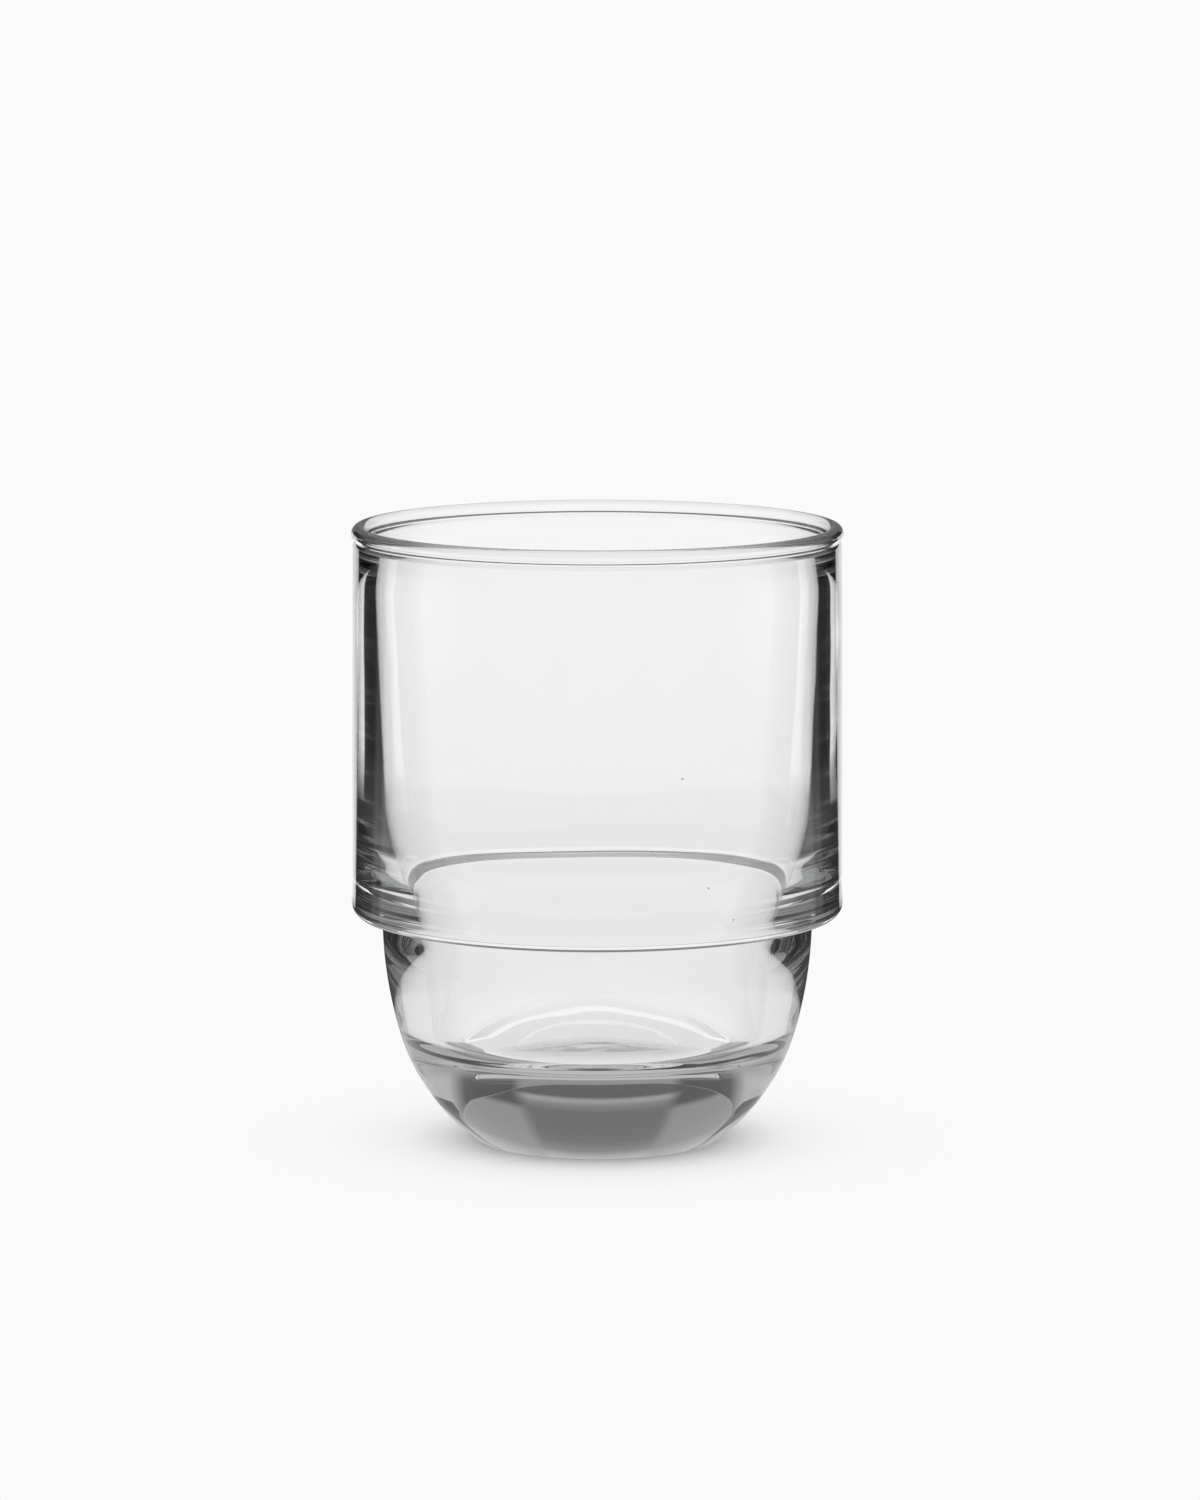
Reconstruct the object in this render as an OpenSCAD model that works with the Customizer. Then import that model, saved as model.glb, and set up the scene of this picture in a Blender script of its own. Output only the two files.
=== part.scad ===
// Stackable cortado glass: one piece of pressed soda-lime glass.
// Millimetres, +Z up, origin at the centre of the ring that it stands on.
// The whole glass is one closed half section, turned about the Z axis.

/* [Overall] */
// Height from the table to the top of the lip
glass_h = 86.6; // [74:0.1:110]
// Steps along each rounded stretch of the section
arc_steps = 8; // [6:1:24]

/* [Wall, outside] */
// Outer radius of the wall just under the lip
wall_top_r = 33.98; // [30:0.01:40]
// How much wider the wall is at the stacking shoulder than under the lip
wall_taper = 0.39; // [0:0.01:1.5]

/* [Lip] */
// How far the round bead at the mouth stands out past the wall
lip_overhang = 0.29; // [0:0.01:0.8]
// Radius of the bead's own round section
bead_r = 1.1; // [0.8:0.05:1.3]
// Depth of the fine groove between bead and wall, left by the mould's ring
groove_depth = 0.2; // [0.05:0.01:0.3]
// Height of that groove
groove_h = 0.5; // [0.3:0.05:0.9]

/* [Upper chamber] */
// Thickness of the wall at its thinnest, where the flare towards the mouth starts
upper_wall_t = 2.75; // [2:0.05:3.6]
// Height of the flare, from its start to the middle of the bead
flare_h = 6.5; // [4:0.5:16]
// Thickness of the wall at the chamber's foot, where the inside starts to lean in
foot_wall_t = 4.65; // [3:0.05:7]
// How high the chamber's foot lies above the shoulder's underside
foot_rise = 10.2; // [4:0.1:14]
// Radius of the curve at the chamber's foot
foot_curve_r = 60; // [10:1:100]

/* [Stacking shoulder] */
// Height of the shoulder's flat underside, which rests on the lip of the glass below
shoulder_z = 31.8; // [28:0.1:36]
// How far the bowl's top lies inside the wall's foot
shoulder_step = 4.27; // [3:0.01:6]
// Radius that rounds the shoulder's outer corner
shoulder_corner_r = 1.85; // [0.8:0.05:2.4]
// Radius of the small fillet where the shoulder meets the bowl
neck_fillet_r = 0.5; // [0.2:0.05:1]

/* [Bowl, outside] */
// Radius of the gentle curve down the bowl's flank
flank_arc_r = 59; // [45:1:80]
// Angle that the flank's curve turns through before the tighter one starts
flank_angle = 16.2; // [10:0.1:20]
// How far the edge of the foot lies inside the bowl's top
foot_inset = 13.6; // [10:0.05:16]
// Radius that rounds the edge of the foot
heel_r = 1; // [0.5:0.1:2]

/* [Bowl, inside] */
// How far the corner of the bowl's floor lies inside the bowl's top
floor_inset = 7.4; // [5:0.05:10]
// Radius that rounds this corner
floor_curve_r = 4.9; // [1.5:0.1:10]
// Thickness of the heavy base, from the table to the bowl's floor
base_t = 13.5; // [11:0.1:16]
// How far the shallow round panel in the floor lies inside the floor's corner
panel_inset = 11.5; // [6:0.1:14]
// Depth of that panel
panel_depth = 0.2; // [0.1:0.05:0.6]

/* [Underside] */
// Width of the flat ring that the glass stands on
ring_w = 3; // [1.5:0.1:5]
// Height of the hollow under the base at its centre
punt_h = 0.2; // [0.1:0.05:2]

/* [Hidden] */

// Facets of the turned solid where it is shown as a mesh
turn_facets = 60;

lip_r = wall_top_r + lip_overhang;
bead_c = [lip_r - bead_r, glass_h - bead_r];
mouth_r = bead_c.x - bead_r;
groove_z = bead_c.y - bead_r;
groove_r = wall_top_r - groove_depth;
// Where the bead's round meets the groove, below its outermost point
bead_foot_angle = -50;

wall_base_r = wall_top_r + wall_taper;
neck_r = wall_base_r - shoulder_step;

// Corners of the inside, before they are rounded
chamber_top = [wall_top_r - upper_wall_t, bead_c.y - flare_h];
chamber_foot = [wall_base_r - foot_wall_t, shoulder_z + foot_rise];
floor_corner = [neck_r - floor_inset, base_t];
panel_r = floor_corner.x - panel_inset;

foot_r = neck_r - foot_inset;
heel_c = [foot_r, heel_r];
punt_r = foot_r - ring_w;
punt_arc_r = (pow(punt_r, 2) + pow(punt_h, 2)) / (2 * punt_h);
punt_angle = asin(punt_r / punt_arc_r);

// The bowl's tighter curve touches the flank's curve at its end and the round of the foot's edge
flank_c = [neck_r - flank_arc_r, shoulder_z];
flank_end = [cos(flank_angle), -sin(flank_angle)];
reach = flank_c + flank_arc_r * flank_end - heel_c;
bowl_arc_r = (reach * reach - pow(heel_r, 2)) / (2 * (reach * flank_end - heel_r));
bowl_c = flank_c + (flank_arc_r - bowl_arc_r) * flank_end;
heel_angle = atan2(heel_c.y - bowl_c.y, heel_c.x - bowl_c.x);

// Points along an arc, in the plane of the half section
function arc(centre, radius, from, to) = [
    for (i = [0 : arc_steps])
        let (a = from + (to - from) * i / arc_steps)
        centre + radius * [cos(a), sin(a)]
];

// Rounds the corner b of the outline a, b, c: an arc that touches both its sides
function rounded(a, b, c, radius) =
    let (
        u = (a - b) / norm(a - b),
        v = (c - b) / norm(c - b),
        half = acos(u * v) / 2,
        mid = (u + v) / norm(u + v),
        centre = b + mid * radius / sin(half),
        start = b + u * radius / tan(half) - centre,
        turn = (180 - 2 * half) * sign(u.x * v.y - u.y * v.x)
    )
    [
        for (i = [0 : arc_steps])
            let (t = -turn * i / arc_steps)
            centre + [
                start.x * cos(t) - start.y * sin(t),
                start.x * sin(t) + start.y * cos(t)
            ]
    ];

// The hollow under the base, from the axis out to the standing ring
function underside() = arc([0, punt_h - punt_arc_r], punt_arc_r, 90, 90 - punt_angle);

// The foot's edge, the bowl's two curves and the fillet under the shoulder
function bowl_outside() = concat(
    arc(heel_c, heel_r, -90, heel_angle),
    arc(bowl_c, bowl_arc_r, heel_angle, -flank_angle),
    arc(flank_c, flank_arc_r, -flank_angle, -asin(neck_fillet_r / flank_arc_r)),
    arc([neck_r + neck_fillet_r, shoulder_z - neck_fillet_r], neck_fillet_r, 180, 90)
);

// The shoulder's round corner and the wall up to the groove
function chamber_outside() = concat(
    rounded(
        [neck_r, shoulder_z],
        [wall_base_r, shoulder_z],
        [wall_top_r, groove_z],
        shoulder_corner_r
    ),
    [[wall_top_r, groove_z - groove_h], [groove_r, groove_z]]
);

// The bead, from the groove over the top to the mouth's inner side
function lip() = concat(
    arc(bead_c, bead_r, bead_foot_angle, 90),
    arc(bead_c, bead_r, 90, 180)
);

// The flare between the bead and the chamber's wall, which it meets in one line
wall_slope = (chamber_top.x - chamber_foot.x) / (chamber_top.y - chamber_foot.y);
flare_gain = mouth_r - chamber_top.x - wall_slope * flare_h;

function flare() = [
    for (i = [1 : arc_steps])
        let (t = 1 - i / arc_steps)
        chamber_top + [wall_slope * flare_h * t + flare_gain * t * t, flare_h * t]
];

// The inside: the long curve at the chamber's foot, then the bowl's side and its floor
function inside() = concat(
    rounded(chamber_top, chamber_foot, floor_corner, foot_curve_r),
    rounded(chamber_foot, floor_corner, [0, base_t], floor_curve_r)
);

// The shallow panel in the middle of the floor
function panel() = [
    [panel_r + panel_depth, base_t],
    [panel_r, base_t - panel_depth],
    [0, base_t - panel_depth]
];

module half_section() {
    polygon(concat(
        underside(),
        bowl_outside(),
        chamber_outside(),
        lip(),
        flare(),
        inside(),
        panel()
    ));
}

// Clear pressed glass, turned in one piece from lip to foot
module glass() {
    color([0.9, 0.93, 0.93, 0.35])
        rotate_extrude($fn = turn_facets)
            half_section();
}

glass();
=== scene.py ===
# %% [markdown]
# A cortado glass is one piece of clear soda-lime glass, pressed in a mould and fire-polished. It has a
# round lip, a straight chamber, a shoulder on which it stacks, a narrower bowl and a heavy base. A clear
# glass has no colour of its own, so what the eye sees is its outline, the thickness of its walls and
# what the table and the room around it look like after they are bent through it. So this lesson needs a
# true outline, a clean surface and a carefully lit table, and hardly any colour.

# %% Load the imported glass
import math
import random

import bpy
import numpy as np
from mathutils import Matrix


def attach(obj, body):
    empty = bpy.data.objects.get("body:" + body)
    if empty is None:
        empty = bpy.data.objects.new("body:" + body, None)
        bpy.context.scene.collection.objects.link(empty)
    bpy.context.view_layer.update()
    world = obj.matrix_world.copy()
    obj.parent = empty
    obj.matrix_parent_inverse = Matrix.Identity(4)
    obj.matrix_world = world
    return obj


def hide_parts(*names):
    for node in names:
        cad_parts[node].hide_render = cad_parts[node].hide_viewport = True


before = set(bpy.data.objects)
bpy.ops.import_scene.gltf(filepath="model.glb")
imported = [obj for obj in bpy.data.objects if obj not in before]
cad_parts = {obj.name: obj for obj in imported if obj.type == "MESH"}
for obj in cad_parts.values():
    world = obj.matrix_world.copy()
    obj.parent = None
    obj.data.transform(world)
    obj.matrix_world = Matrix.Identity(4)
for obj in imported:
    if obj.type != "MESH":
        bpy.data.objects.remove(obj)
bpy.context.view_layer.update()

scene = bpy.context.scene
MM = 0.001
print("nodes:", sorted(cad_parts))

# %% [markdown]
# Two helpers serve every material. Colours are written as the sRGB hex values that a paint chart gives,
# and one function turns them to the linear values that the renderer works in. The other adds a node,
# gives it its settings and joins its inputs, so that a material reads as a list of what it is made of.

# %% Helpers for colours and nodes
def linear(hex_colour):
    """The linear colour of an sRGB hex value such as #fafafa."""
    values = [int(hex_colour[i:i + 2], 16) / 255 for i in (1, 3, 5)]
    return [v / 12.92 if v <= 0.04045 else ((v + 0.055) / 1.055) ** 2.4 for v in values] + [1.0]


def add_node(tree, kind, inputs=None, stops=(), **settings):
    """Adds a node, gives a ramp its grey stops, sets properties, and fills or links the inputs."""
    node = tree.nodes.new(kind)
    for _ in stops[2:]:
        node.color_ramp.elements.new(1.0)
    for element, (share, level) in zip(node.color_ramp.elements if stops else (), stops):
        element.position = share
        element.color = (level, level, level, 1)
    for name, value in settings.items():
        setattr(node, name, value)
    for key, value in (inputs or {}).items():
        if isinstance(value, bpy.types.NodeSocket):
            tree.links.new(value, node.inputs[key])
        else:
            node.inputs[key].default_value = value
    return node


# %% [markdown]
# The photograph is a product shot from about a metre away with a long lens, which keeps the ellipses of
# lip and foot nearly alike. The camera's place and tilt come from those ellipses: the lip is 69 mm wide
# and the foot 33 mm, so their heights in the picture give the angle from which each is seen.

# %% Camera
PHOTO_W = 1200
SENSOR_W = 36.0
FOCAL_PIXELS = 6866
CAMERA_DISTANCE = 950 * MM
CAMERA_HEIGHT = 188.58 * MM
CAMERA_SIDE = 0.375 * MM
CAMERA_TILT = math.radians(8.01)

camera_data = bpy.data.cameras.new("camera")
camera_data.sensor_fit = "HORIZONTAL"
camera_data.sensor_width = SENSOR_W
camera_data.lens = SENSOR_W * FOCAL_PIXELS / PHOTO_W
camera = bpy.data.objects.new("camera", camera_data)
camera.location = (CAMERA_SIDE, -CAMERA_DISTANCE, CAMERA_HEIGHT)
camera.rotation_euler = (math.pi / 2 - CAMERA_TILT, 0, 0)
scene.collection.objects.link(camera)
scene.camera = camera
print("lens: %.0f mm" % camera_data.lens)

# %% [markdown]
# The glass is turned, so its whole shape is one half section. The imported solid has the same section, but
# its mesh is coarse, and glass shows each facet twice over. So the section is drawn again here from the
# same sizes, in millimetres, and sampled finely. Its round stretches are arcs that touch their
# neighbours, which keeps highlights smooth where one curve meets the next.

# %% Sizes of the glass, in millimetres
GLASS_H = 86.6
WALL_TOP_R = 33.98
LIP_OVERHANG = 0.29
BEAD_R = 1.1
GROOVE_DEPTH = 0.2
GROOVE_H = 0.5
# Where the bead's round meets the groove, in degrees from its outermost point
BEAD_FOOT_ANGLE = -50

WALL_TAPER = 0.39
UPPER_WALL_T = 2.75
FLARE_H = 6.5
FOOT_WALL_T = 4.65
FOOT_RISE = 10.2
FOOT_CURVE_R = 60

SHOULDER_Z = 31.8
SHOULDER_STEP = 4.27
SHOULDER_CORNER_R = 1.85
NECK_FILLET_R = 0.5

FLANK_ARC_R = 59
FLANK_ANGLE = 16.2
FOOT_INSET = 13.6
HEEL_R = 1

FLOOR_INSET = 7.4
FLOOR_CURVE_R = 4.9
BASE_T = 13.5
PANEL_INSET = 11.5
PANEL_DEPTH = 0.2
RING_W = 3
PUNT_H = 0.2

# %% Sizes that follow from them
lip_r = WALL_TOP_R + LIP_OVERHANG
bead_c = np.array([lip_r - BEAD_R, GLASS_H - BEAD_R])
mouth_r = bead_c[0] - BEAD_R
groove_z = bead_c[1] - BEAD_R
wall_base_r = WALL_TOP_R + WALL_TAPER
neck_r = wall_base_r - SHOULDER_STEP
foot_r = neck_r - FOOT_INSET

chamber_top = np.array([WALL_TOP_R - UPPER_WALL_T, bead_c[1] - FLARE_H])
chamber_foot = np.array([wall_base_r - FOOT_WALL_T, SHOULDER_Z + FOOT_RISE])
floor_corner = np.array([neck_r - FLOOR_INSET, BASE_T])
panel_r = floor_corner[0] - PANEL_INSET
wall_slope = (chamber_top[0] - chamber_foot[0]) / (chamber_top[1] - chamber_foot[1])
flare_gain = mouth_r - chamber_top[0] - wall_slope * FLARE_H

flank_c = np.array([neck_r - FLANK_ARC_R, SHOULDER_Z])
heel_c = np.array([foot_r, HEEL_R])
flank_end = np.array([math.cos(math.radians(FLANK_ANGLE)), -math.sin(math.radians(FLANK_ANGLE))])
reach = flank_c + FLANK_ARC_R * flank_end - heel_c
bowl_arc_r = (reach @ reach - HEEL_R ** 2) / (2 * (reach @ flank_end - HEEL_R))
bowl_c = flank_c + (FLANK_ARC_R - bowl_arc_r) * flank_end
heel_angle = math.degrees(math.atan2(heel_c[1] - bowl_c[1], heel_c[0] - bowl_c[0]))

punt_r = foot_r - RING_W
punt_arc_r = (punt_r ** 2 + PUNT_H ** 2) / (2 * PUNT_H)
punt_angle = math.degrees(math.asin(punt_r / punt_arc_r))
print("bowl curve: %.2f mm, foot: %.2f mm" % (bowl_arc_r, foot_r))

# %% [markdown]
# Three small functions draw every stretch of the section: a straight line, an arc round a centre, and an
# arc that rounds the corner between two lines. Straight stretches are cut into short steps as well. A
# smooth-shaded face takes its slope from its corners, so one long face next to an arc would bend the
# light over its whole length. A narrow face just below the groove keeps that bend to its own width.

# %% Functions for the section
# Longest step along the section in millimetres, and round an arc in degrees
STEP = 1.3
ARC_STEP_ANGLE = 6
LEAST_ARC_STEPS = 3
# Height of the narrow face below the groove, in millimetres
NARROW_FACE = 0.1


def line(a, b):
    """Points along a straight stretch, without its first one."""
    a, b = np.array(a, float), np.array(b, float)
    count = max(1, math.ceil(np.linalg.norm(b - a) / STEP))
    return [a + (b - a) * i / count for i in range(1, count + 1)]


def arc(centre, radius, start, end):
    """Points along an arc, angles in degrees, in steps short both in angle and in length."""
    turn = abs(end - start)
    by_angle, by_length = math.ceil(turn / ARC_STEP_ANGLE), math.ceil(math.radians(turn) * radius / STEP)
    count = max(LEAST_ARC_STEPS, by_angle, by_length)
    angles = np.radians(np.linspace(start, end, count + 1))
    return [np.array(centre) + radius * np.array([math.cos(a), math.sin(a)]) for a in angles]


def rounded(a, b, c, radius):
    """The arc that rounds the corner b between the lines to a and c."""
    a, b, c = (np.array(p, float) for p in (a, b, c))
    u = (a - b) / np.linalg.norm(a - b)
    v = (c - b) / np.linalg.norm(c - b)
    half = math.acos(u @ v) / 2
    centre = b + (u + v) / np.linalg.norm(u + v) * radius / math.sin(half)
    ends = [b + w * radius / math.tan(half) - centre for w in (u, v)]
    start, end = (math.degrees(math.atan2(e[1], e[0])) for e in ends)
    end += 360 * round((start - end) / 360)
    return arc(centre, radius, start, end)


# %% The section, from the middle of the base out, up and over the lip, and down inside
def outside():
    """The underside, the bowl, the shoulder and the wall up to the groove."""
    points = arc([0, PUNT_H - punt_arc_r], punt_arc_r, 90, 90 - punt_angle)
    points += line(points[-1], [foot_r, 0])
    points += arc(heel_c, HEEL_R, -90, heel_angle)[1:]
    points += arc(bowl_c, bowl_arc_r, heel_angle, -FLANK_ANGLE)[1:]
    fillet_start = -math.degrees(math.asin(NECK_FILLET_R / FLANK_ARC_R))
    points += arc(flank_c, FLANK_ARC_R, -FLANK_ANGLE, fillet_start)[1:]
    points += arc([neck_r + NECK_FILLET_R, SHOULDER_Z - NECK_FILLET_R], NECK_FILLET_R, 180, 90)[1:]
    corner = rounded(
        [neck_r, SHOULDER_Z], [wall_base_r, SHOULDER_Z], [WALL_TOP_R, groove_z], SHOULDER_CORNER_R
    )
    points += line(points[-1], corner[0]) + corner[1:]
    points += line(corner[-1], [WALL_TOP_R, groove_z - GROOVE_H - NARROW_FACE])
    points += line(points[-1], [WALL_TOP_R, groove_z - GROOVE_H])
    points += line(points[-1], [WALL_TOP_R - GROOVE_DEPTH, groove_z])
    return points


def inside():
    """The bead of the lip, the flare under it, the inside of the wall, the bowl's floor and its panel."""
    points = arc(bead_c, BEAD_R, BEAD_FOOT_ANGLE, 180)
    count = math.ceil(FLARE_H / STEP)
    for i in range(1, count + 1):
        t = 1 - i / count
        points.append(chamber_top + [wall_slope * FLARE_H * t + flare_gain * t * t, FLARE_H * t])
    for stretch in (
        rounded(chamber_top, chamber_foot, floor_corner, FOOT_CURVE_R),
        rounded(chamber_foot, floor_corner, [0, BASE_T], FLOOR_CURVE_R),
        [[panel_r + PANEL_DEPTH, BASE_T], [panel_r, BASE_T - PANEL_DEPTH], [0, BASE_T - PANEL_DEPTH]],
    ):
        points += line(points[-1], stretch[0]) + list(stretch[1:])
    points[-1:] = line(points[-2], points[-1])  # the panel's flat, in short steps
    return points


outer_section = outside()
inner_section = inside()
section = np.array(outer_section + inner_section)
print("section:", len(section), "points, height %.2f mm" % section[:, 1].max())

# %% [markdown]
# Pressed glass is never quite true. The mould's chill leaves shallow ripples, under two hundredths of a
# millimetre deep on the walls and up to five at the shoulder and in the thick base, where the glass stays
# soft longest. Each ripple here is a wave that runs round the glass and along the section, and a seeded
# choice of waves gives every render the same glass. Broad waves bend what is seen through the walls a
# little, and short ones draw the fine level streaks at the shoulder.

# %% Ripples of the pressed surface
RIPPLE_SEED = 7
# How many waves, how often each goes round, its length along the section and its greatest depth, in mm
BROAD_RIPPLES = (14, (2, 9), (9, 40), 0.0022)
RING_RIPPLES = (16, (1, 4), (2.4, 6), 0.0014)
# Short waves: the heights between which they are deep, what is added to them there, and their depth elsewhere
SHOULDER_BAND = (32, 43)
SHOULDER_GAIN = 5.0
RING_GAIN = 0.25
# Broad waves: the height of the base, and how much deeper they are in it
BASE_TOP = 13
BASE_GAIN = 3.0
# Height over which one depth goes over into the other
BAND_EDGE = 4

chance = random.Random(RIPPLE_SEED)


def waves(count, turns, lengths, depth):
    """Waves of a kind: how often each goes round, its pitch along the section, its phase and depth."""
    return [(
        chance.randint(*turns),
        2 * math.pi / chance.uniform(*lengths),
        chance.uniform(0, 2 * math.pi),
        depth * chance.uniform(0.5, 1.0),
    ) for _ in range(count)]


def rough(kind, angles, along):
    """The sum of a kind's waves, in millimetres."""
    return sum(depth * np.cos(turns * angles + pitch * along + phase) for turns, pitch, phase, depth in kind)


broad_waves, ring_waves = waves(*BROAD_RIPPLES), waves(*RING_RIPPLES)


def ripple(angles, along, height):
    """How far the surface stands out of true, in mm, at points round a glass and along its section."""
    low, high = SHOULDER_BAND
    shoulder = np.clip((height - low) / BAND_EDGE, 0, 1) * np.clip((high - height) / BAND_EDGE, 0, 1)
    base = np.clip((BASE_TOP - height) / BAND_EDGE, 0, 1)
    broad_gain = 1 + (BASE_GAIN - 1) * base
    ring_gain = RING_GAIN + SHOULDER_GAIN * shoulder
    return broad_gain * rough(broad_waves, angles, along) + ring_gain * rough(ring_waves, angles, along)


print("ripples:", len(broad_waves), "broad,", len(ring_waves), "short")

# %% [markdown]
# The section is turned into a mesh ring by ring, each point pushed out of true by the ripples, square to
# the section. Two faint ridges run up the outside of the chamber, where the halves of the mould met. The
# standing ring stays flat and nothing reaches below the table. The two ends on the axis close with a fan.

# %% Turn the section
TURN_STEPS = 360
# Ripples fade towards the axis from this radius
CALM_R = 6
# Heights under this count as the standing ring
STANDING_Z = 0.001
# Where the seams run up, in degrees round the glass, and how far they stand out
SEAM_ANGLES = (119, 255)
SEAM_RISE = 0.006


def closed_faces(first, ring_count, steps):
    """Faces between rings of corners numbered from first on, and to the two end corners after them."""
    low_end = first + ring_count * steps
    high_end = low_end + 1
    last = low_end - steps
    faces = []
    for k in range(steps):
        n = (k + 1) % steps
        faces.append((low_end, first + n, first + k))
        faces.append((high_end, last + k, last + n))
        for start in range(first, last, steps):
            above = start + steps
            faces.append((start + k, start + n, above + n, above + k))
    return faces


def turned_corners(points):
    """The corners of a section turned round the Z axis, whose first and last points are on it."""
    angles = np.linspace(0, 2 * math.pi, TURN_STEPS, endpoint=False)
    rings = points[1:-1]
    ahead = points[2:] - points[:-2]
    square = np.stack([ahead[:, 1], -ahead[:, 0]], axis=-1) / np.linalg.norm(ahead, axis=1)[:, None]
    along = np.cumsum(np.linalg.norm(np.diff(points, axis=0), axis=1))[:-1, None]
    push = ripple(angles, along, rings[:, 1, None]) * np.minimum(1, rings[:, 0, None] / CALM_R)
    push = np.where(abs(rings[:, 1, None]) < STANDING_Z, 0, push)
    outer = len(outer_section) - 1
    for seam_angle in SEAM_ANGLES:
        column = round(seam_angle * TURN_STEPS / 360)
        push[:outer, column] += SEAM_RISE * (rings[:outer, 1] > SHOULDER_Z)
    radius = rings[:, 0, None] + push * square[:, 0, None]
    height = np.maximum(0, rings[:, 1, None] + push * square[:, 1, None])
    grid = np.stack([radius * np.cos(angles), radius * np.sin(angles), height], axis=-1).reshape(-1, 3)
    return np.vstack([grid, [0, 0, points[0, 1]], [0, 0, points[-1, 1]]])


corners = turned_corners(section)
ring_count = len(section) - 2
faces = closed_faces(0, ring_count, TURN_STEPS)
print("skin:", ring_count, "rings,", len(faces), "faces")

# %% [markdown]
# A few seeds, gas bubbles smaller than a pinhead, stay in the glass when it is pressed. Each is a tiny
# ball inside the wall whose faces look inward, so that the renderer treats it as air. It belongs to the
# same mesh as the glass, as the skin and its bubbles are the surface of one piece.

# %% Seeds in the glass
# Place and radius of each, in millimetres
SEEDS = [
    (11.3, -30.6, 55.3, 0.15),
    (14.7, -28.4, 40.0, 0.15),
    (17.9, -25.9, 35.3, 0.12),
    (15.0, -13.2, 10.0, 0.12),
    (18.2, -8.4, 9.1, 0.1),
]
SEED_SIDES = 16
SEED_RINGS = 7

turn, rise = np.meshgrid(
    np.linspace(0, 2 * math.pi, SEED_SIDES, endpoint=False),
    np.linspace(-math.pi / 2, math.pi / 2, SEED_RINGS + 2)[1:-1],
)
ball = np.stack([np.cos(rise) * np.cos(turn), np.cos(rise) * np.sin(turn), np.sin(rise)], axis=-1)
ball = np.vstack([ball.reshape(-1, 3), [0, 0, -1], [0, 0, 1]])
for x, y, z, radius in SEEDS:
    faces += [face[::-1] for face in closed_faces(len(corners), SEED_RINGS, SEED_SIDES)]
    corners = np.vstack([corners, [x, y, z] + radius * ball])
print("seeds:", len(SEEDS))

# %% The glass as one mesh
# Creases sharper than this stay sharp, in degrees
SHARP_ANGLE = 30

mesh = bpy.data.meshes.new("pressed_glass")
mesh.from_pydata((corners * MM).tolist(), [], faces)
mesh.shade_smooth()
mesh.set_sharp_from_angle(angle=math.radians(SHARP_ANGLE))
glass = bpy.data.objects.new("pressed_glass", mesh)
scene.collection.objects.link(glass)
print("glass:", len(mesh.vertices), "corners,", len(mesh.polygons), "faces")

# %% [markdown]
# Soda-lime glass bends light by an index of 1.52. Fire-polishing, a quick pass of flame after the press,
# melts its skin as smooth as still water, so it has no roughness: highlights and whatever is seen through
# it stay sharp. Its surface has no colour either. Only light that runs far inside it, as in the base or
# round the lip, comes out dimmer and a trace greener, so the tint belongs to the volume.

# %% Clear soda-lime glass
GLASS_IOR = 1.52
GLASS_TINT = "#f4f8f6"
TINT_DENSITY = 6.0

clear_glass = bpy.data.materials.new("clear_soda_lime_glass")
clear_glass.use_nodes = True
tree = clear_glass.node_tree
shader = tree.nodes["Principled BSDF"]
shader.inputs["Base Color"].default_value = linear("#ffffff")
shader.inputs["Transmission Weight"].default_value = 1.0
shader.inputs["Roughness"].default_value = 0.0
shader.inputs["IOR"].default_value = GLASS_IOR
tint = add_node(
    tree, "ShaderNodeVolumeAbsorption", {"Color": linear(GLASS_TINT), "Density": TINT_DENSITY}
)
tree.links.new(tint.outputs[0], tree.nodes["Material Output"].inputs["Volume"])
glass.data.materials.append(clear_glass)
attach(glass, "root")
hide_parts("glass")
print("glass material:", clear_glass.name)

# %% [markdown]
# What the glass shows is the room. In this studio the table and the backdrop are white paper, with black
# cards standing at both sides to draw the dark bands down the walls and a dark ceiling to shade the base.
# Light reaches the eye straight through the glass, after it was turned back once or twice inside a wall,
# or after it ran round in a wall many times. Each of these looks at another part of the room, so the
# cards are drawn as grey levels on the table and in the sky, one set for each kind of light. Only light
# that the glass has bent sees them. Each level is a list of stops, a place and the level there, with an
# even change between one stop and the next.

# %% Light through the glass
# Farthest distance on the table that has levels of its own, in millimetres
TABLE_SPAN = 400
# Angles are degrees from the far side of the room, and heights are degrees above the table
HALF_TURN = 180
ZENITH = 90
# How many turns are told apart, and from how many on light counts as turned often
MOST_TURNS = 16
OFTEN_PART = [(0, 0), (2.4, 0), (2.6, 1), (16, 1)]


def level_at(tree, value, span, stops):
    """A grey level for a value from 0 to span, from stops of (value, level)."""
    share = add_node(tree, "ShaderNodeMath", {0: value, 1: span}, operation="DIVIDE", use_clamp=True)
    shares = [(v / span, level) for v, level in stops]
    return add_node(tree, "ShaderNodeValToRGB", {0: share.outputs[0]}, shares).outputs[0]


def layered(tree, level, *covers):
    """A level with others laid over it in turn, each given as (where it covers, its own level)."""
    for part, cover in covers:
        inputs = {0: part, 2: level, 3: cover}
        level = add_node(tree, "ShaderNodeMix", inputs, data_type="FLOAT").outputs[0]
    return level


def side_angle(tree, axes):
    """The angle in degrees, 0 to 180, between a place or direction and the far side of the room."""
    across, away = axes.outputs["X"], axes.outputs["Y"]
    angle = add_node(tree, "ShaderNodeMath", {0: across, 1: away}, operation="ARCTAN2").outputs[0]
    degrees = add_node(tree, "ShaderNodeMath", {0: angle, 1: math.degrees(1)}, operation="MULTIPLY")
    return add_node(tree, "ShaderNodeMath", {0: degrees.outputs[0]}, operation="ABSOLUTE").outputs[0]


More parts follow.
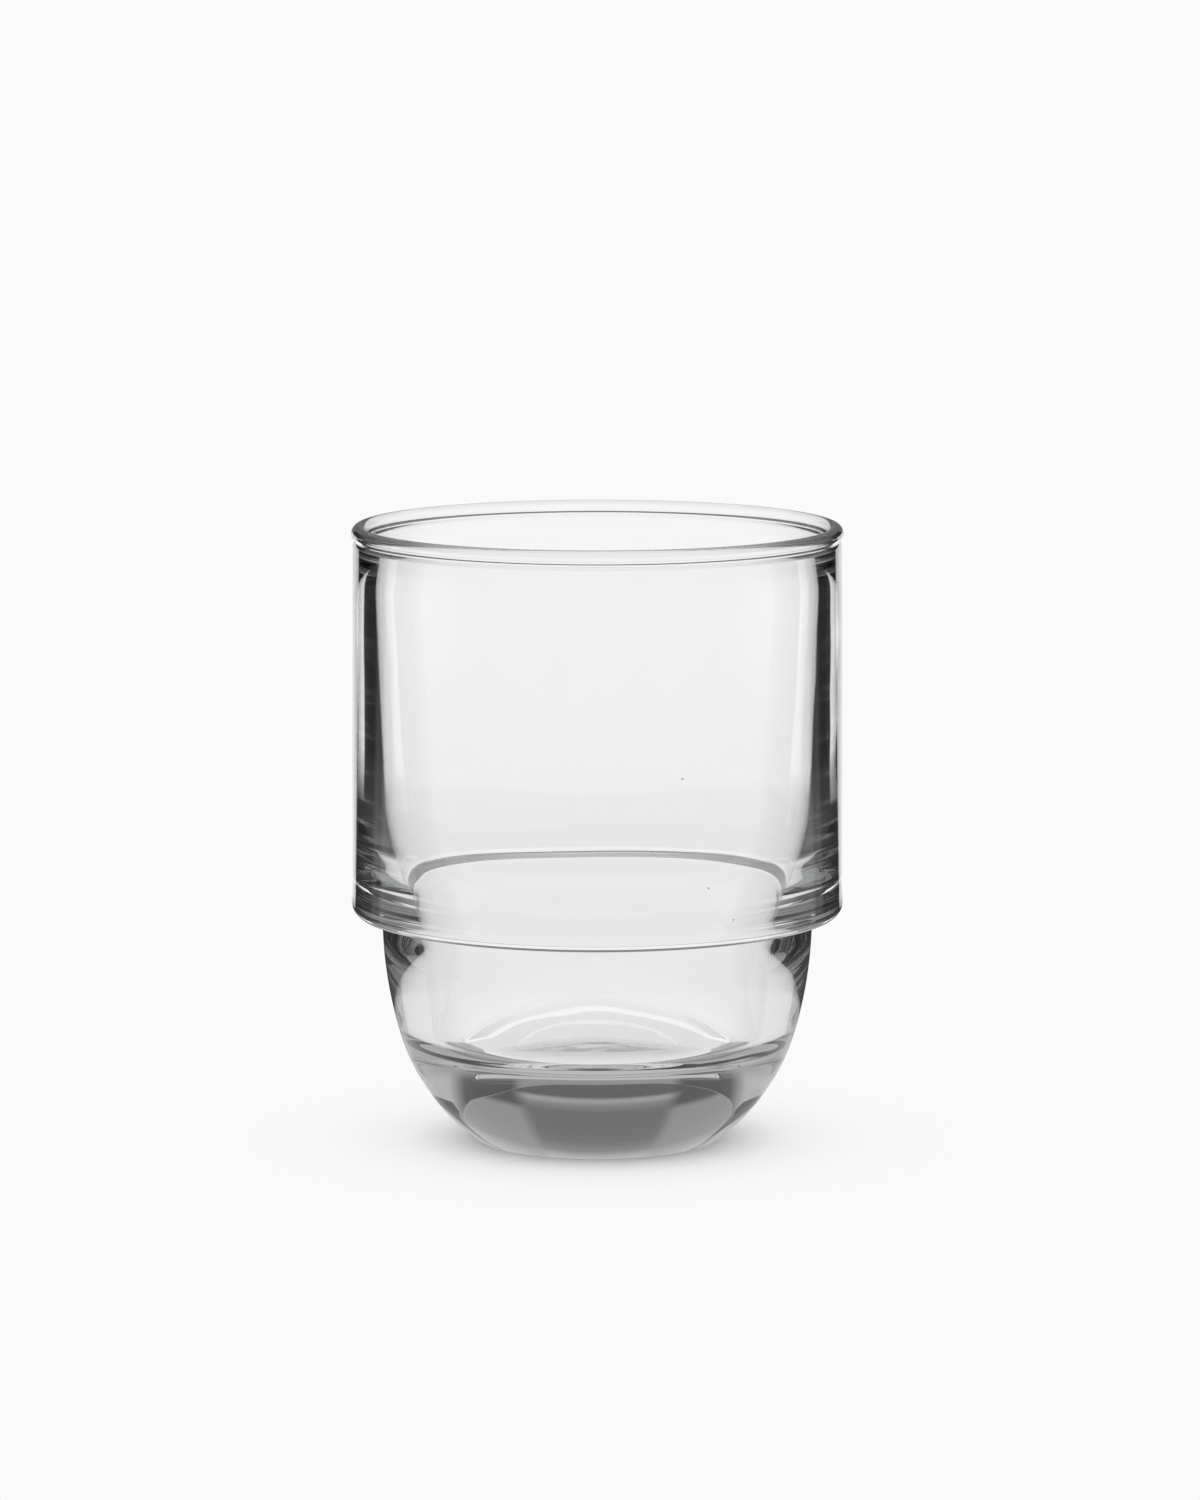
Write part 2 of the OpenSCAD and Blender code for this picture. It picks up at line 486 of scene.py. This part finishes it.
def light_kinds(tree):
    """Whether light comes straight to the eye, was bent, was turned in a wall, and was turned often."""
    path = add_node(tree, "ShaderNodeLightPath")
    mirrored, let_through = path.outputs["Is Glossy Ray"], path.outputs["Is Transmission Ray"]
    bent = add_node(tree, "ShaderNodeMath", {0: mirrored, 1: let_through}, operation="MAXIMUM")
    turns = path.outputs["Glossy Depth"]
    turned = add_node(tree, "ShaderNodeMath", {0: turns, 1: 0.5}, operation="GREATER_THAN")
    often = level_at(tree, turns, MOST_TURNS, OFTEN_PART)
    return path.outputs["Is Camera Ray"], bent.outputs[0], turned.outputs[0], often


# %% [markdown]
# The table is a large sheet of matt white paper. Paper this white has hardly any tone of its own, and
# what the eye reads on it is the soft shadow round the foot. So the camera sees an even white sheet that
# goes over into lit paper close to the foot, which is where the glass's own shadow falls on it.

# %% Levels that the glass sees on the table
# Straight through the glass, by distance from its axis: painted shade under the foot and painted light in a
# ring round it
TABLE_STRAIGHT = [
    (0, 0.87), (13, 0.87), (15, 1), (26, 1), (36, 0.88), (60, 0.85), (200, 0.87), (230, 0.93), (400, 0.96),
]
# Turned in a wall: painted shade under the foot, and by distance how much of it there is
FOOT_SHADE = 0.48
FOOT_SHADE_PART = [(0, 1), (26, 1), (38, 0), (400, 0)]
# Turned in a wall: paper close to the glass, by angle
NEAR_PAPER = [(0, 0.5), (36, 0.5), (40, 0.8), (180, 0.85)]
# Then the nearer cards, by angle, and by distance where they start
NEAR_CARDS = [(0, 0.33), (12, 0.33), (15, 0.06), (62, 0.06), (66, 0.12), (80, 0.25), (110, 0.54), (180, 0.54)]
NEAR_CARDS_PART = [(0, 0), (86, 0), (94, 1), (400, 1)]
# Then painted light, a strip of paper brighter than white, and the farther cards, by angle, and by distance
# where they start
FAR_LIGHT_AND_CARDS = [
    (0, 0.8), (12.5, 0.8), (14.5, 1.3), (28.5, 1.3), (30.5, 0.05), (38, 0.02), (54, 0.02),
    (58, 0.3), (62, 0.3), (66, 0.8), (85, 0.8), (110, 0.5), (180, 0.5),
]
FAR_LIGHT_AND_CARDS_PART = [(0, 0), (190, 0), (230, 1), (400, 1)]
# Turned often, by distance
TABLE_OFTEN = [(0, 0.38), (85, 0.38), (95, 0.05), (400, 0.05)]
print("levels on the table reach %d mm" % TABLE_SPAN)

# %% White paper table
TABLE_HALF = 8.0
TABLE_GAP = 0.02 * MM
PAPER_WHITE = "#fafafa"
# How much of the paper that the camera sees is lit, and so takes the shadow, by distance
SHADOW_PART = [(0, 0.9), (17, 0.9), (26, 0.33), (32, 0.17), (40, 0.06), (60, 0), (400, 0)]

sides = ((-1, -1), (1, -1), (1, 1), (-1, 1))
sheet_corners = [(x * TABLE_HALF, y * TABLE_HALF, -TABLE_GAP) for x, y in sides]
table_mesh = bpy.data.meshes.new("table")
table_mesh.from_pydata(sheet_corners, [], [(0, 1, 2, 3)])
table = bpy.data.objects.new("table", table_mesh)
scene.collection.objects.link(table)
paper = bpy.data.materials.new("white_paper")
paper.use_nodes = True
tree = paper.node_tree
tree.nodes.clear()
camera_ray, bent, turned, often = light_kinds(tree)
place = add_node(tree, "ShaderNodeNewGeometry").outputs["Position"]
flat = add_node(tree, "ShaderNodeVectorMath", {0: place, 1: (1 / MM, 1 / MM, 0)}, operation="MULTIPLY")
axes = add_node(tree, "ShaderNodeSeparateXYZ", {0: flat.outputs[0]})
angle = side_angle(tree, axes)
distance = add_node(tree, "ShaderNodeVectorMath", {0: flat.outputs[0]}, operation="LENGTH").outputs["Value"]


def by_distance(stops):
    """A level on the table by the distance from the glass's axis, in millimetres."""
    return level_at(tree, distance, TABLE_SPAN, stops)


caught = layered(
    tree,
    level_at(tree, angle, HALF_TURN, NEAR_PAPER),
    (by_distance(NEAR_CARDS_PART), level_at(tree, angle, HALF_TURN, NEAR_CARDS)),
    (by_distance(FAR_LIGHT_AND_CARDS_PART), level_at(tree, angle, HALF_TURN, FAR_LIGHT_AND_CARDS)),
    (by_distance(FOOT_SHADE_PART), FOOT_SHADE),
    (often, by_distance(TABLE_OFTEN)),
)
level = layered(tree, by_distance(TABLE_STRAIGHT), (turned, caught))
through = add_node(tree, "ShaderNodeEmission", {"Color": level}).outputs[0]
lit = add_node(tree, "ShaderNodeBsdfDiffuse", {"Color": linear(PAPER_WHITE)}).outputs[0]
even = add_node(tree, "ShaderNodeEmission", {"Color": linear(PAPER_WHITE)}).outputs[0]
shaded = add_node(tree, "ShaderNodeMixShader", {0: by_distance(SHADOW_PART), 1: even, 2: lit}).outputs[0]
sheet = add_node(tree, "ShaderNodeMixShader", {0: camera_ray, 1: lit, 2: shaded}).outputs[0]
surface = add_node(tree, "ShaderNodeMixShader", {0: bent, 1: sheet, 2: through}).outputs[0]
add_node(tree, "ShaderNodeOutputMaterial", {"Surface": surface})
table.data.materials.append(paper)
print("table material:", paper.name)

# %% [markdown]
# The room is one even white backdrop that also lights the table. Whatever the glass bends sees the
# studio's cards in it: low down the white far wall, above it the dark ceiling, and the black cards at
# both sides. No lamp is needed, because a clear glass is drawn by what stands round it.

# %% Levels that the glass sees in the room
# Straight through the glass and ahead, by height
SKY_AHEAD = [
    (0, 0.93), (10.5, 0.93), (13, 0.08), (17, 0.08), (17.8, 0.3), (18.6, 0.3), (19.5, 0.2),
    (22, 0.12), (34, 0.12), (40, 0.2), (46, 0.5), (52, 0.8), (90, 1),
]
# Straight through and to the side, by height, and by angle where the side starts
SKY_ASIDE = [(0, 0.42), (10, 0.42), (12, 0.05), (21, 0.05), (23, 0.24), (40, 0.25), (52, 0.5), (90, 1)]
SKY_ASIDE_PART = [(0, 0), (16, 0), (20, 1), (180, 1)]
# Turned in a wall: the cards low down, by angle
SKY_CARDS = [(0, 0.24), (16, 0.24), (19, 0.04), (34, 0.06), (42, 0.42), (80, 0.42), (110, 0.6), (180, 0.6)]
# Then the ceiling, by height, and by height where it starts
SKY_CEILING = [(0, 0.3), (18, 0.3), (30, 0.5), (50, 0.6), (90, 0.6)]
SKY_CEILING_PART = [(0, 0), (10, 0), (14, 1), (90, 1)]
# Turned often: ahead and behind, by height, and by angle where behind starts
OFTEN_AHEAD = [
    (0, 0.02), (14, 0.02), (20, 0.06), (26, 0.18), (40, 0.25), (50, 0.38), (62, 0.38), (72, 0.6), (90, 0.6),
]
OFTEN_BEHIND = [(0, 0.05), (10, 0.08), (16, 0.3), (28, 0.4), (60, 0.6), (72, 0.9), (90, 0.9)]
OFTEN_BEHIND_PART = [(0, 0), (70, 0), (105, 1), (180, 1)]
print("levels in the room reach %d degrees up" % ZENITH)

# %% Studio
studio = bpy.data.worlds.new("studio")
scene.world = studio
studio.use_nodes = True
tree = studio.node_tree
tree.nodes.clear()
camera_ray, bent, turned, often = light_kinds(tree)
direction = add_node(tree, "ShaderNodeTexCoord").outputs["Generated"]
axes = add_node(tree, "ShaderNodeSeparateXYZ", {0: direction})
angle = side_angle(tree, axes)
slope = add_node(tree, "ShaderNodeMath", {0: axes.outputs["Z"]}, operation="ARCSINE").outputs[0]
height = add_node(tree, "ShaderNodeMath", {0: slope, 1: math.degrees(1)}, operation="MULTIPLY").outputs[0]


def by_height(stops):
    """A level in the room by the height above the table, in degrees."""
    return level_at(tree, height, ZENITH, stops)


def by_angle(stops):
    """A level in the room by the angle from the far side, in degrees."""
    return level_at(tree, angle, HALF_TURN, stops)


caught_often = layered(tree, by_height(OFTEN_AHEAD), (by_angle(OFTEN_BEHIND_PART), by_height(OFTEN_BEHIND)))
caught = layered(
    tree,
    by_angle(SKY_CARDS),
    (by_height(SKY_CEILING_PART), by_height(SKY_CEILING)),
    (often, caught_often),
)
straight = layered(tree, by_height(SKY_AHEAD), (by_angle(SKY_ASIDE_PART), by_height(SKY_ASIDE)))
level = layered(tree, straight, (turned, caught))
through = add_node(tree, "ShaderNodeBackground", {"Color": level}).outputs[0]
light = add_node(tree, "ShaderNodeBackground", {"Color": linear("#ffffff")}).outputs[0]
backdrop = add_node(tree, "ShaderNodeBackground", {"Color": linear(PAPER_WHITE)}).outputs[0]
lighting = add_node(tree, "ShaderNodeMixShader", {0: bent, 1: light, 2: through}).outputs[0]
shown = add_node(tree, "ShaderNodeMixShader", {0: camera_ray, 1: lighting, 2: backdrop}).outputs[0]
add_node(tree, "ShaderNodeOutputWorld", {"Surface": shown})
print("world:", studio.name)

# %% [markdown]
# The Standard view shows each colour as it is written. Light that runs round in the lip or the base meets
# the surface dozens of times, so the renderer follows it further than it would by default.

# %% Colours and bounces
MOST_BOUNCES = 32

scene.view_settings.view_transform = "Standard"
scene.cycles.max_bounces = MOST_BOUNCES
scene.cycles.glossy_bounces = MOST_BOUNCES
scene.cycles.transmission_bounces = MOST_BOUNCES
print("bounces:", MOST_BOUNCES)
